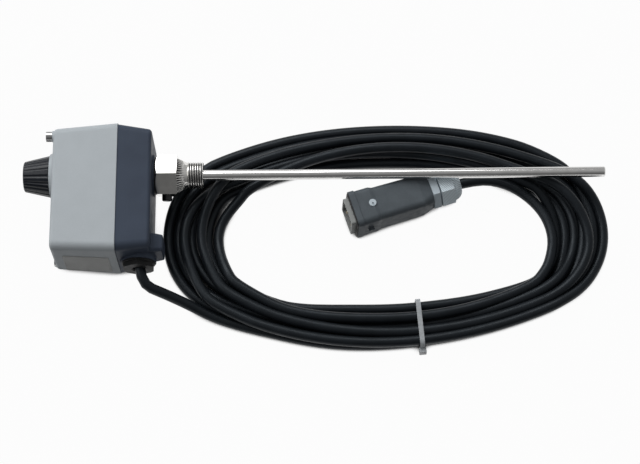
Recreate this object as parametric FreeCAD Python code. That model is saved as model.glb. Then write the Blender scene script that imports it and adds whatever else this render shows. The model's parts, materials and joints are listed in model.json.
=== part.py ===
"""Rod thermostat with a plug-in cable, lying on its side beside its coiled cable.

Frame: +X runs along the probe rod, away from the knob, and +Z is up. The origin is on
the rod's axis, where the pipe thread of the screw-in nipple starts. Lengths are in mm.
"""

import FreeCAD
import Part
import math
import os

# Screw-in nipple and probe rod
thread_radius = 20.955 / 2
thread_length = 11.5
cone_length = 4.7
cone_radius_rear = 10.2
cone_radius_front = 9.0
collar_length = 3.5
collar_radius = 12.25
hex_length = 16.2
hex_across_flats = 30.0
hex_chamfer = 1.4
hex_turn = 15.0
nipple_stub_radius = 8.0
nipple_seal_thickness = 1.0
rod_diameter = 8.0
rod_end_x = 318.0
rod_wall = 0.5
rod_in_nipple = 20.0
rod_tip_chamfer = 0.7
clamp_screw_diameter = 4.0
clamp_head_radius = 3.8
clamp_head_height = 4.6

# Housing
housing_above_axis = 33.0
housing_below_axis = 70.0
housing_thickness = 60.0
cover_depth = 49.0
base_depth = 25.4
wall = 3.0
lip_step = 0.6
cover_draft_y = 2.9
cover_draft_z = 3.7
base_draft = 3.2
corner_radius = 6.0
edge_radius = 3.0
neck_height = 1.2
neck_radius = 16.0
foot_height = 8.8
foot_length = 16.0
foot_half_width = 14.0
foot_draft = 1.6
knob_boss_height = 3.7
knob_boss_top_radius = 17.2
knob_boss_foot_radius = 22.0
gasket_width = 1.5
gasket_depth = 1.2
pillar_radius = 4.4
pillar_inset = 5.7
pillar_pad = 0.8

# Cover screws
cover_screw_diameter = 4.0
cover_screw_head_radius = 3.9
cover_screw_head_height = 4.8
cover_screw_engagement = 12.0
sunk_screw_depth = 4.2
sunk_screw_wall = 2.0
seal_wire_hole_radius = 0.9
screw_slot_width = 1.1
screw_slot_depth = 1.2

# Knob and spindle
knob_base_radius = 16.0
knob_tip_radius = 11.75
knob_length = 20.0
knob_dome = 0.9
knob_tip_round = 1.4
knob_gap = 0.3
flute_count = 18
flute_depth = 0.65
flute_radius = 2.2
spindle_diameter = 6.0
spindle_flat = 0.5
spindle_in_knob = 15.0
spindle_collar_radius = 4.5
spindle_collar_length = 2.0

# Inner frame and mechanism
sheet = 1.5
frame_top_gap = 2.0
frame_half_width = 14.0
frame_plate_below = 50.0
front_plate_below = 12.0
collar_to_carriage = 4.7
bush_radius = 5.0
bush_flange_radius = 7.0
bush_flange_length = 1.5
locknut_height = 4.5
locknut_across_flats = 22.0
capsule_radius = 14.0
capsule_height = 5.0
capsule_hub_radius = 6.5
capsule_hub_length = 1.4
capsule_boss_length = 1.0
capsule_pin_radius = 2.0
capsule_pin_depth = 2.5
capillary_radius = 1.0
bulb_radius = 3.2
bulb_length = 90.0
bulb_tip_gap = 4.0
lever_thickness = 2.0
lever_half_width = 9.0
lever_to_capsule = 7.0
lever_pivot_above = 14.0
lever_below = 37.0
lever_knuckle_radius = 3.2
pivot_pin_radius = 1.5
ear_reach = 5.0
carriage_length = 4.0
carriage_travel = 3.0
carriage_half_width = 7.0
carriage_below = 7.0
spring_length = 20.0
spring_radius = 5.6
spring_wire = 1.3
spring_turns = 4.5
plunger_below = 32.0
plunger_radius = 1.6
plunger_depth = 3.4
switch_top = 20.0
switch_length = 26.0
switch_half_width = 8.0
switch_depth = 12.9
calibration_screw_radius = 1.5
calibration_head_radius = 2.6
calibration_head_height = 2.0

# Cable and its gland in the base
cable_diameter = 8.0
gland_x = -36.5
gland_boss_height = 1.0
gland_boss_radius = 13.4
gland_flange_radius = 12.6
gland_flange_height = 1.5
gland_hex_height = 3.6
gland_across_flats = 22.0
gland_thread_radius = 9.5
gland_thread_length = 4.0
gland_socket_wall = 2.4
gland_socket_floor = 2.5
seal_length = 6.0
seal_squeeze = 0.1
washer_length = 1.0
core_radius = 0.9

# Cable coil and tie
coil_center_x = 150.0
coil_outer_center_y = -42.5
coil_inner_center_y = -40.0
coil_outer_half_length = 170.0
coil_outer_half_width = 90.5
coil_outer_end_radius = 70.0
coil_inner_half_length = 123.5
coil_inner_half_width = 58.0
coil_inner_end_radius = 35.0
coil_height = 15.0
coil_edge_radius = 3.8
tie_x = 176.0
tie_width = 3.6
tie_thickness = 1.2
tie_head_length = 6.8
tie_head_width = 5.4
tie_head_height = 4.4

# Cable connector, in its own frame: u from its mouth to its gland, v to its side, w up
hood_x = 125.0
hood_y = -28.0
hood_turn = 17.6
hood_flange_side = 30.0
hood_flange_length = 4.6
hood_collar_side = 28.8
hood_collar_length = 14.4
hood_body_side = 27.1
hood_body_length = 35.0
hood_rear_side = 26.4
hood_neck_length = 8.5
hood_neck_side = 22.6
hood_corner_radius = 4.5
hood_wall = 2.6
hood_pocket_depth = 14.0
insert_side = 22.0
insert_reach = 4.5
insert_seat_depth = 9.0
insert_rim = 1.6
insert_recess_depth = 9.0
contact_radius = 1.25
contact_pitch = 11.0
contact_length = 12.0
hood_seal_thickness = 0.8
peg_radius = 2.3
peg_height = 2.4
peg_from_mouth = 10.5
hood_screw_radius = 2.85
hood_screw_from_mouth = 15.5
hood_screw_proud = 0.5
hood_screw_length = 1.6
hood_gland_across_flats = 24.0
hood_gland_hex_length = 5.6
hood_gland_gap = 1.2
hood_gland_cap_length = 11.2
hood_gland_dome_length = 6.0
hood_gland_dome_radius = 7.4
hood_gland_thread_radius = 8.6
hood_gland_nose_length = 9.5
hood_gland_bore_radius = 5.0

# Clearances
fit_gap = 0.05
seat_gap = 0.02
loose_gap = 0.3
hole_gap = 0.3


def vector(x, y, z):
    return FreeCAD.Vector(x, y, z)


AXIS_X = vector(1, 0, 0)
AXIS_Y = vector(0, 1, 0)
AXIS_Z = vector(0, 0, 1)


# Places along X that follow from the lengths above
collar_x = -cone_length
hex_end_x = collar_x - collar_length
hex_start_x = hex_end_x - hex_length
neck_x = hex_start_x - nipple_seal_thickness
rear_x = neck_x - neck_height
seam_x = rear_x - base_depth
front_x = seam_x - cover_depth
knob_boss_x = front_x - knob_boss_height
knob_base_x = knob_boss_x - knob_gap
knob_tip_x = knob_base_x - knob_length
rod_start_x = -rod_in_nipple
inner_wall_x = rear_x - wall
plate_x = inner_wall_x - sheet
stub_end_x = plate_x - locknut_height
capsule_back_x = stub_end_x - capsule_hub_length
capsule_front_x = capsule_back_x - capsule_height
capsule_boss_x = capsule_front_x - capsule_boss_length
lever_back_x = capsule_boss_x - lever_to_capsule
lever_front_x = lever_back_x - lever_thickness
lever_mid_x = lever_back_x - lever_thickness / 2
carriage_back_x = lever_front_x - spring_length
carriage_front_x = carriage_back_x - carriage_length
spindle_collar_x = carriage_front_x - collar_to_carriage - spindle_collar_length
frame_front_x = spindle_collar_x - loose_gap - bush_flange_length - sheet
switch_face_x = plate_x - switch_depth
pad_x = front_x - pillar_pad

# Heights and places across the axis
rod_radius = rod_diameter / 2
cable_radius = cable_diameter / 2
half_thickness = housing_thickness / 2
floor_z = -half_thickness
frame_top_y = housing_above_axis - lip_step - base_draft - wall - frame_top_gap
web_y = frame_top_y - sheet
switch_bottom_y = -switch_top - switch_length
base_bottom_y = -(housing_below_axis - lip_step)
gland_face_y = base_bottom_y - gland_boss_height
gland_flange_y = gland_face_y - gland_flange_height
gland_mouth_y = gland_flange_y - gland_hex_height
gland_thread_y = gland_face_y + gland_thread_length
washer_y = gland_thread_y + washer_length
seal_y = washer_y + seal_length
gland_socket_y = seal_y + gland_socket_floor
front_top_y = housing_above_axis - cover_draft_y
front_bottom_y = -(housing_below_axis - cover_draft_y)
front_half_z = half_thickness - cover_draft_z
cover_screw_places = [
    (front_top_y - pillar_inset, front_half_z - pillar_inset, pad_x),
    (front_bottom_y + pillar_inset, pillar_inset - front_half_z, pad_x + sunk_screw_depth),
]
pivot_reach = lever_half_width + loose_gap



def hood_tilt():
    """How far the connector's axis falls to the rear, as it rests on its flange and its body's rear end."""
    return math.atan((hood_flange_side - hood_rear_side) / 2 / (hood_collar_length + hood_body_length))


def hood_axis(u):
    """The point of the connector's axis that is u behind its mouth."""
    turn = math.radians(hood_turn)
    tilt = hood_tilt()
    level = u * math.cos(tilt)
    mouth_z = floor_z + hood_flange_side / 2 * math.cos(tilt) + hood_flange_length * math.sin(tilt)
    return vector(
        hood_x + level * math.cos(turn), hood_y + level * math.sin(turn), mouth_z - u * math.sin(tilt)
    )


# Routes of the two uncoiled stretches of cable, chosen by eye
lead_route = [
    vector(gland_x, -61.5, 0),
    vector(gland_x, -86.6, 0),
    vector(-15.5, -93, -10),
    vector(4, -98, -22.4),
    vector(27, -106.5, floor_z + cable_radius),
]
tail_route = [
    hood_axis(75.2),
    hood_axis(101),
    vector(244, -0.5, -24),
    vector(262, -13, floor_z + cable_radius),
    vector(274, -29, floor_z + cable_radius),
    vector(278.5, -48, floor_z + cable_radius),
]


# Building blocks


def bar(start, end, radius):
    """A round bar from one point to another."""
    along = end.sub(start)
    return Part.makeCylinder(radius, along.Length, start, along)


def bar_x(x1, x2, radius, y=0.0, z=0.0):
    return bar(vector(x1, y, z), vector(x2, y, z), radius)


def bar_y(y1, y2, radius, x=0.0, z=0.0):
    return bar(vector(x, y1, z), vector(x, y2, z), radius)


def ring_x(x1, x2, outer, inner, y=0.0, z=0.0):
    return bar_x(x1, x2, outer, y, z).cut(bar_x(x1, x2, inner, y, z))


def block(x1, x2, y1, y2, z1, z2):
    return Part.makeBox(x2 - x1, y2 - y1, z2 - z1, vector(x1, y1, z1))


def turned(profile):
    """A body turned about the X axis from (x, radius) points."""
    points = [vector(x, r, 0) for x, r in profile]
    outline = Part.makePolygon(points + points[:1])
    return Part.Face(outline).revolve(vector(0, 0, 0), AXIS_X, 360)


def rounded_outline(x, y_low, y_high, z_low, z_high, radius):
    """A rectangle with round corners in the plane at x."""
    turn = radius * (1 - math.sqrt(0.5))
    lines = [
        (y_low + radius, z_low, y_high - radius, z_low),
        (y_high, z_low + radius, y_high, z_high - radius),
        (y_high - radius, z_high, y_low + radius, z_high),
        (y_low, z_high - radius, y_low, z_low + radius),
    ]
    bends = [
        (y_high - turn, z_low + turn),
        (y_high - turn, z_high - turn),
        (y_low + turn, z_high - turn),
        (y_low + turn, z_low + turn),
    ]
    edges = []
    for place, (line, bend) in enumerate(zip(lines, bends)):
        after = lines[(place + 1) % 4]
        start = vector(x, line[0], line[1])
        end = vector(x, line[2], line[3])
        edges.append(Part.LineSegment(start, end).toShape())
        edges.append(Part.Arc(end, vector(x, *bend), vector(x, after[0], after[1])).toShape())
    return Part.Wire(edges)


def square_outline(x, side, radius):
    return rounded_outline(x, -side / 2, side / 2, -side / 2, side / 2, radius)


def tapered(outline_one, outline_two):
    return Part.makeLoft([outline_one, outline_two], True, True)


def square_bar(x1, x2, side, radius):
    return tapered(square_outline(x1, side, radius), square_outline(x2, side, radius))


def hexagon(x1, x2, across_flats, turn=0.0):
    """A hexagonal bar along X; turn swings its -Y flat down by that many degrees."""
    corner = across_flats / math.sqrt(3)
    angles = [math.radians(180 + turn + 30 + 60 * k) for k in range(6)]
    points = [vector(x1, corner * math.cos(a), corner * math.sin(a)) for a in angles]
    face = Part.Face(Part.makePolygon(points + points[:1]))
    return face.extrude(vector(x2 - x1, 0, 0))


def chamfered_ends(body, x1, x2, across_flats, first, last):
    """The part of a hexagonal bar that a lathe leaves when it breaks the end corners."""
    corner = across_flats / math.sqrt(3) + 0.1
    slope = 2.0
    profile = [
        (x1, 0),
        (x1, corner - slope * first),
        (x1 + first, corner),
        (x2 - last, corner),
        (x2, corner - slope * last),
        (x2, 0),
    ]
    return body.common(turned(profile))


def faces_at_x(shape, x):
    return [f for f in shape.Faces if abs(f.CenterOfMass.x - x) < 1e-6 and f.BoundBox.XLength < 1e-6]


def rounded_at_x(shape, x, radius):
    """The shape with the edges of its flat face at x rounded."""
    return shape.makeFillet(radius, faces_at_x(shape, x)[0].Edges)


def swung(shape, angle, axis, x=0.0, y=0.0):
    turned_shape = shape.copy()
    turned_shape.rotate(vector(x, y, 0), axis, angle)
    return turned_shape


def slotted_screw(seat_x, tip_x, radius, head_radius, head_height, y=0.0, z=0.0):
    """A screw along +X with a slotted cylinder head in front of seat_x."""
    head_x = seat_x - head_height
    head = bar_x(head_x, seat_x, head_radius, y, z)
    slot_half = screw_slot_width / 2
    slot = block(
        head_x, head_x + screw_slot_depth, y - head_radius, y + head_radius, z - slot_half, z + slot_half
    )
    return head.cut(slot).fuse(bar_x(seat_x, tip_x, radius, y, z)).removeSplitter()


def cable_tube(name, route):
    """A tube of the cable's section along straight runs that tangent arcs join."""
    runs = [b.sub(a) for a, b in zip(route, route[1:])]
    lengths = [run.Length for run in runs]
    edges = []
    radii = []
    start = route[0]
    for k in range(1, len(route) - 1):
        before = vector(*runs[k - 1]).normalize()
        after = vector(*runs[k]).normalize()
        half_turn = before.getAngle(after) / 2
        reach = 0.45 * min(lengths[k - 1], lengths[k])
        radius = reach / math.tan(half_turn)
        enter = route[k].sub(before.multiply(reach))
        leave = route[k].add(after.multiply(reach))
        chord_middle = enter.add(leave).multiply(0.5)
        inward = chord_middle.sub(route[k])
        apex_reach = radius / math.cos(half_turn) - radius
        apex = route[k].add(inward.normalize().multiply(apex_reach))
        edges.append(Part.LineSegment(start, enter).toShape())
        edges.append(Part.Arc(enter, apex, leave).toShape())
        radii.append(round(radius, 1))
        start = leave
    edges.append(Part.LineSegment(start, route[-1]).toShape())
    path = Part.Wire(edges)
    circle = Part.Circle(route[0], runs[0], cable_radius)
    tube = path.makePipeShell([Part.Wire(circle.toShape())], True, False)
    share = tube.Volume / (math.pi * cable_radius**2 * path.Length)
    print(f"{name}: length {path.Length:.1f}, bend radii {radii}, volume over section times length {share:.4f}")
    return tube


def oval(center_y, half_length, half_width, end_radius, height):
    """A flat solid whose outline is four tangent arcs, standing on the floor."""
    side_radius = half_length**2 - 2 * half_length * end_radius + half_width**2
    side_radius = side_radius / (2 * (half_width - end_radius))
    end_center = half_length - end_radius
    side_center = side_radius - half_width
    share = side_radius / math.hypot(end_center, side_center)
    joint_x = end_center * share
    joint_y = side_center * share - side_center

    def at(x, y):
        return vector(coil_center_x + x, center_y + y, floor_z)

    corners = [at(joint_x, joint_y), at(-joint_x, joint_y), at(-joint_x, -joint_y), at(joint_x, -joint_y)]
    middles = [at(0, half_width), at(-half_length, 0), at(0, -half_width), at(half_length, 0)]
    edges = []
    for k in range(4):
        edges.append(Part.Arc(corners[k], middles[k], corners[(k + 1) % 4]).toShape())
    return Part.Face(Part.Wire(edges)).extrude(vector(0, 0, height))


def placed_hood(shape):
    """Moves a connector piece from its own frame to its place on the floor."""
    moved = shape.copy()
    moved.rotate(vector(0, 0, 0), AXIS_Y, math.degrees(hood_tilt()))
    moved.rotate(vector(0, 0, 0), AXIS_Z, hood_turn)
    moved.translate(hood_axis(0))
    return moved


# Housing


def housing_outline(x, inset_y, inset_z, radius):
    return rounded_outline(
        x,
        inset_y - housing_below_axis,
        housing_above_axis - inset_y,
        inset_z - half_thickness,
        half_thickness - inset_z,
        radius,
    )


def make_base_shell():
    seam_inset = lip_step
    rear_inset = lip_step + base_draft
    outer = tapered(
        housing_outline(seam_x, seam_inset, seam_inset, corner_radius),
        housing_outline(rear_x, rear_inset, rear_inset, corner_radius),
    )
    outer = rounded_at_x(outer, rear_x, edge_radius)
    inner_radius = corner_radius - wall + 0.5
    inner = tapered(
        housing_outline(seam_x, seam_inset + wall, seam_inset + wall, inner_radius),
        housing_outline(inner_wall_x, rear_inset + wall, rear_inset + wall, inner_radius),
    )
    foot_low_y = -(housing_below_axis - rear_inset)
    foot = tapered(
        rounded_outline(
            rear_x - wall / 2, foot_low_y, foot_low_y + foot_length, -foot_half_width, foot_half_width, edge_radius
        ),
        rounded_outline(
            rear_x + foot_height,
            foot_low_y + foot_draft,
            foot_low_y + foot_length - foot_draft,
            foot_draft - foot_half_width,
            foot_half_width - foot_draft,
            edge_radius,
        ),
    )
    foot = rounded_at_x(foot, rear_x + foot_height, edge_radius / 2)
    shell = outer.cut(inner)
    socket_radius = gland_thread_radius + gland_socket_wall
    socket = bar_y(gland_face_y, gland_socket_y, socket_radius, gland_x).common(
        block(seam_x, rear_x + foot_height, gland_face_y, 0, floor_z, -floor_z)
    )
    gland_pad = bar_y(gland_face_y, base_bottom_y + base_draft + wall / 2, gland_boss_radius, gland_x)
    neck = bar_x(inner_wall_x, neck_x, neck_radius)
    shell = shell.fuse([foot, socket, gland_pad, neck])
    for y, z, _ in cover_screw_places:
        shell = shell.fuse(bar_x(seam_x, inner_wall_x + wall / 2, pillar_radius, y, z).common(outer))
    shell = shell.cut(bar_y(gland_face_y, seal_y, gland_thread_radius + fit_gap, gland_x))
    shell = shell.cut(bar_y(seal_y, gland_socket_y, cable_radius + 1.2, gland_x))
    shell = shell.cut(bar_x(inner_wall_x, neck_x, nipple_stub_radius + fit_gap))
    shell = shell.cut(gasket_ring(seat_gap))
    for y, z, seat_x in cover_screw_places:
        thread_end = cover_screw_tip(seat_x) + 2
        shell = shell.cut(bar_x(seam_x, thread_end, cover_screw_diameter / 2 + seat_gap, y, z))
    for screw_y, screw_z in frame_screw_places():
        shell = shell.cut(bar_x(inner_wall_x, frame_screw_tip_x(), frame_screw_radius + seat_gap, screw_y, screw_z))
    return shell.removeSplitter()


def make_cover_shell():
    front_radius = corner_radius
    outer = tapered(
        housing_outline(front_x, cover_draft_y, cover_draft_z, front_radius),
        housing_outline(seam_x, 0, 0, corner_radius),
    )
    outer = rounded_at_x(outer, front_x, edge_radius)
    inner_radius = corner_radius - wall + 0.5
    inner = tapered(
        housing_outline(front_x + wall, cover_draft_y + wall, cover_draft_z + wall, inner_radius),
        housing_outline(seam_x, wall + lip_step, wall + lip_step, inner_radius),
    )
    flare = [
        Part.LineSegment(
            vector(front_x + wall, 0, 0), vector(front_x + wall, knob_boss_foot_radius, 0)
        ).toShape(),
        Part.LineSegment(
            vector(front_x + wall, knob_boss_foot_radius, 0), vector(front_x, knob_boss_foot_radius, 0)
        ).toShape(),
        Part.Arc(
            vector(front_x, knob_boss_foot_radius, 0),
            vector(
                front_x - 0.33 * knob_boss_height,
                knob_boss_top_radius + 0.33 * (knob_boss_foot_radius - knob_boss_top_radius),
                0,
            ),
            vector(knob_boss_x, knob_boss_top_radius, 0),
        ).toShape(),
        Part.LineSegment(vector(knob_boss_x, knob_boss_top_radius, 0), vector(knob_boss_x, 0, 0)).toShape(),
        Part.LineSegment(vector(knob_boss_x, 0, 0), vector(front_x + wall, 0, 0)).toShape(),
    ]
    boss = Part.Face(Part.Wire(flare)).revolve(vector(0, 0, 0), AXIS_X, 360)
    shell = outer.cut(inner).fuse(boss)
    for y, z, seat_x in cover_screw_places:
        sunk = seat_x > front_x
        shell = shell.fuse(bar_x(front_x if sunk else pad_x, seam_x, pillar_radius, y, z))
        if sunk:
            recess_radius = cover_screw_head_radius + hole_gap
            sleeve = bar_x(front_x, seat_x + sunk_screw_wall, recess_radius + sunk_screw_wall, y, z)
            shell = shell.fuse(sleeve.common(outer))
            shell = shell.cut(bar_x(front_x, seat_x, recess_radius, y, z))
        shell = shell.cut(bar_x(pad_x, seam_x, cover_screw_diameter / 2 + hole_gap, y, z))
    shell = shell.cut(bar_x(knob_boss_x, front_x + wall, spindle_diameter / 2 + hole_gap))
    return shell.removeSplitter()


def gasket_ring(gap):
    """The seal between base and cover, larger by gap on every side that lies in its groove."""
    end_x = seam_x + gasket_depth + gap

    def filled(inset):
        return tapered(
            housing_outline(seam_x, inset, inset, corner_radius - inset),
            housing_outline(end_x, inset, inset, corner_radius - inset),
        )

    inset = lip_step + (wall - gasket_width) / 2
    return filled(inset - gap).cut(filled(inset + gasket_width + gap))


def make_cover_gasket():
    return gasket_ring(0)


def cover_screw_tip(seat_x):
    """Where a cover screw ends if its head rests at seat_x."""
    return seat_x + seam_x + cover_screw_engagement - pad_x


def make_cover_screws():
    screws = []
    for y, z, seat_x in cover_screw_places:
        screw = slotted_screw(
            seat_x,
            cover_screw_tip(seat_x),
            cover_screw_diameter / 2,
            cover_screw_head_radius,
            cover_screw_head_height,
            y,
            z,
        )
        hole_x = seat_x - cover_screw_head_height / 3
        hole = bar_y(y - cover_screw_head_radius, y + cover_screw_head_radius, seal_wire_hole_radius, hole_x, z)
        screws.append(screw.cut(hole))
    return Part.makeCompound(screws)


# Knob, spindle and setting mechanism


def make_knob():
    tip_corner_x = knob_tip_x + knob_tip_round
    dome_edge = knob_tip_radius - knob_tip_round
    dome_radius = (dome_edge**2 + knob_dome**2) / (2 * knob_dome)
    dome_center_x = knob_tip_x - knob_dome + dome_radius
    half_turn = math.asin(dome_edge / dome_radius) / 2
    profile = [
        Part.LineSegment(vector(knob_base_x, 0, 0), vector(knob_base_x, knob_base_radius, 0)).toShape(),
        Part.LineSegment(
            vector(knob_base_x, knob_base_radius, 0), vector(tip_corner_x, knob_tip_radius, 0)
        ).toShape(),
        Part.Arc(
            vector(tip_corner_x, knob_tip_radius, 0),
            vector(knob_tip_x + 0.3 * knob_tip_round, knob_tip_radius - 0.3 * knob_tip_round, 0),
            vector(knob_tip_x, dome_edge, 0),
        ).toShape(),
        Part.Arc(
            vector(knob_tip_x, dome_edge, 0),
            vector(dome_center_x - dome_radius * math.cos(half_turn), dome_radius * math.sin(half_turn), 0),
            vector(knob_tip_x - knob_dome, 0, 0),
        ).toShape(),
        Part.LineSegment(vector(knob_tip_x - knob_dome, 0, 0), vector(knob_base_x, 0, 0)).toShape(),
    ]
    knob = Part.Face(Part.Wire(profile)).revolve(vector(0, 0, 0), AXIS_X, 360)
    lift = flute_radius - flute_depth
    beyond = 2.0
    slope = (knob_base_radius - knob_tip_radius) / knob_length
    flute = bar(
        vector(knob_base_x + beyond, knob_base_radius + lift + slope * beyond, 0),
        vector(knob_tip_x - beyond, knob_tip_radius + lift - slope * beyond, 0),
        flute_radius,
    )
    flutes = [swung(flute, (k + 0.5) * 360 / flute_count, AXIS_X) for k in range(flute_count)]
    knob = knob.cut(Part.makeCompound(flutes))
    return knob.cut(flatted_shaft(knob_base_x - spindle_in_knob, knob_base_x, seat_gap))


def flatted_shaft(x1, x2, gap):
    """The end of the spindle that the knob sits on, larger all round by gap."""
    radius = spindle_diameter / 2 + gap
    flat_y = spindle_diameter / 2 - spindle_flat + gap
    return bar_x(x1, x2, radius).common(block(x1, x2, -radius, flat_y, -radius, radius))


def spindle_end_x():
    return carriage_back_x + carriage_travel + 2


def make_spindle():
    start_x = knob_base_x - spindle_in_knob + loose_gap
    shaft = flatted_shaft(start_x, knob_base_x, 0).fuse(bar_x(knob_base_x, spindle_end_x(), spindle_diameter / 2))
    collar = bar_x(spindle_collar_x, spindle_collar_x + spindle_collar_length, spindle_collar_radius)
    return shaft.fuse(collar).removeSplitter()


def make_spindle_bush():
    flange_x = frame_front_x + sheet
    body = bar_x(frame_front_x - bush_flange_length, flange_x, bush_radius)
    flange = bar_x(flange_x, flange_x + bush_flange_length, bush_flange_radius)
    bore = bar_x(frame_front_x - bush_flange_length, flange_x + bush_flange_length, spindle_diameter / 2 + fit_gap)
    return body.fuse(flange).cut(bore).removeSplitter()


def make_spring_carriage():
    top_y = web_y - loose_gap
    plate = block(
        carriage_front_x,
        carriage_back_x,
        -carriage_below,
        top_y,
        -carriage_half_width,
        carriage_half_width,
    )
    return plate.cut(bar_x(carriage_front_x, carriage_back_x, spindle_diameter / 2 + fit_gap))


def make_range_spring():
    """A compression spring of square wire between the carriage and the lever."""
    half = spring_wire / 2
    free = spring_length - 2 * half - 2 * seat_gap
    pitch = free / spring_turns
    helix = Part.makeHelix(pitch, free, spring_radius)
    corners = [
        vector(spring_radius - half, 0, -half),
        vector(spring_radius + half, 0, -half),
        vector(spring_radius + half, 0, half),
        vector(spring_radius - half, 0, half),
    ]
    section = Part.makePolygon(corners + corners[:1])
    spring = Part.Wire(helix.Edges).makePipeShell([section], True, True)
    spring.rotate(vector(0, 0, 0), AXIS_Y, 90)
    spring.translate(vector(carriage_back_x + half + seat_gap, 0, 0))
    return spring


# Frame, lever and switch

frame_screw_radius = 1.5
frame_screw_head_radius = 2.8
frame_screw_head_height = 2.0


def frame_screw_places():
    y = web_y - frame_screw_head_radius - 1
    return [(y, -frame_half_width / 1.5), (y, frame_half_width / 1.5), (earth_place()[0], earth_place()[1])]


def frame_screw_tip_x():
    return inner_wall_x + 0.8 * wall


def earth_place():
    return (switch_bottom_y + 4.0, frame_half_width - frame_screw_head_radius - 0.2)


def make_mounting_frame():
    half = frame_half_width
    rear = block(plate_x, inner_wall_x, -frame_plate_below, frame_top_y, -half, half)
    web = block(frame_front_x, inner_wall_x, web_y, frame_top_y, -half, half)
    front = block(frame_front_x, frame_front_x + sheet, -front_plate_below, frame_top_y, -half, half)
    frame = rear.fuse([web, front])
    for side in (-1, 1):
        ear_z = side * (pivot_reach + sheet / 2)
        ear = block(
            lever_mid_x - ear_reach,
            lever_mid_x + ear_reach,
            lever_pivot_above - ear_reach,
            web_y + sheet / 2,
            ear_z - sheet / 2,
            ear_z + sheet / 2,
        )
        frame = frame.fuse(ear)
    pin_reach = pivot_reach + 2 * sheet
    pin_hole = bar(
        vector(lever_mid_x, lever_pivot_above, -pin_reach),
        vector(lever_mid_x, lever_pivot_above, pin_reach),
        pivot_pin_radius + seat_gap,
    )
    frame = frame.cut(pin_hole)
    frame = frame.cut(bar_x(frame_front_x, frame_front_x + sheet, bush_radius + seat_gap))
    frame = frame.cut(bar_x(plate_x, inner_wall_x, nipple_stub_radius + fit_gap))
    for y, z in frame_screw_places():
        frame = frame.cut(bar_x(plate_x, inner_wall_x, frame_screw_radius + seat_gap, y, z))
    for y, z in switch_screw_places():
        frame = frame.cut(bar_x(plate_x, inner_wall_x, switch_screw_radius + seat_gap, y, z))
    return frame.removeSplitter()


def pan_screw(seat_x, tip_x, y, z):
    return slotted_screw(seat_x, tip_x, frame_screw_radius, frame_screw_head_radius, frame_screw_head_height, y, z)


def make_frame_screws():
    return Part.makeCompound([pan_screw(plate_x, frame_screw_tip_x(), y, z) for y, z in frame_screw_places()[:2]])


def make_earth_screw():
    y, z = frame_screw_places()[2]
    washer = ring_x(plate_x - 0.8, plate_x, frame_screw_head_radius, frame_screw_radius + seat_gap, y, z)
    return pan_screw(plate_x - 0.8, frame_screw_tip_x(), y, z).fuse(washer)


def make_lever_pivot_pin():
    reach = pivot_reach + sheet + 0.5
    return bar(
        vector(lever_mid_x, lever_pivot_above, -reach),
        vector(lever_mid_x, lever_pivot_above, reach),
        pivot_pin_radius,
    )


def make_switch_lever():
    half = lever_half_width
    plate = block(lever_front_x, lever_back_x, -lever_below, lever_pivot_above, -half, half)
    knuckle = bar(
        vector(lever_mid_x, lever_pivot_above, -half),
        vector(lever_mid_x, lever_pivot_above, half),
        lever_knuckle_radius,
    )
    bore = bar(
        vector(lever_mid_x, lever_pivot_above, -half),
        vector(lever_mid_x, lever_pivot_above, half),
        pivot_pin_radius + fit_gap,
    )
    lever = plate.fuse(knuckle).cut(bore)
    lever = lever.cut(
        bar_x(lever_front_x, lever_back_x, calibration_screw_radius + seat_gap, -plunger_below)
    )
    return lever.removeSplitter()


def plunger_tip_x():
    return switch_face_x - 3.0


def make_calibration_screw():
    return slotted_screw(
        lever_front_x,
        plunger_tip_x() - loose_gap,
        calibration_screw_radius,
        calibration_head_radius,
        calibration_head_height,
        -plunger_below,
    )


def make_switch_plunger():
    return bar_x(plunger_tip_x(), switch_face_x + plunger_depth, plunger_radius, -plunger_below)


def make_capsule_pin():
    tip_x = lever_back_x + loose_gap
    shank = bar_x(tip_x + capsule_pin_radius, capsule_boss_x + capsule_pin_depth, capsule_pin_radius)
    dome = Part.makeSphere(capsule_pin_radius, vector(tip_x + capsule_pin_radius, 0, 0))
    return shank.fuse(dome).removeSplitter()


switch_screw_radius = 1.2
terminal_screw_radius = 1.2
terminal_head_radius = 1.9
terminal_head_height = 1.4
terminal_pitch = 5.0
terminal_from_bottom = 4.0


def switch_screw_places():
    y = -(switch_top + 2.6)
    z = switch_half_width - 2.6
    return [(y, -z), (y, z)]


def terminal_places():
    y = switch_bottom_y + terminal_from_bottom
    return [(y, k * terminal_pitch) for k in (-1, 0, 1)]


def make_snap_switch():
    half = switch_half_width
    body = block(switch_face_x, plate_x, switch_bottom_y, -switch_top, -half, half)
    bore_end = switch_face_x + plunger_depth + 1.0
    body = body.cut(bar_x(switch_face_x, bore_end, plunger_radius + fit_gap, -plunger_below))
    for y, z in switch_screw_places():
        body = body.cut(bar_x(switch_face_x, plate_x, switch_screw_radius + seat_gap, y, z))
    for y, z in terminal_places():
        body = body.cut(bar_x(switch_face_x, switch_face_x + 5.0, terminal_screw_radius + seat_gap, y, z))
    return body


def make_switch_screws():
    return Part.makeCompound(
        [
            slotted_screw(switch_face_x, inner_wall_x, switch_screw_radius, 2 * switch_screw_radius, 1.6, y, z)
            for y, z in switch_screw_places()
        ]
    )


def make_terminal_screws():
    return Part.makeCompound(
        [
            slotted_screw(
                switch_face_x,
                switch_face_x + 4.5,
                terminal_screw_radius,
                terminal_head_radius,
                terminal_head_height,
                y,
                z,
            )
            for y, z in terminal_places()
        ]
    )


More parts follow.
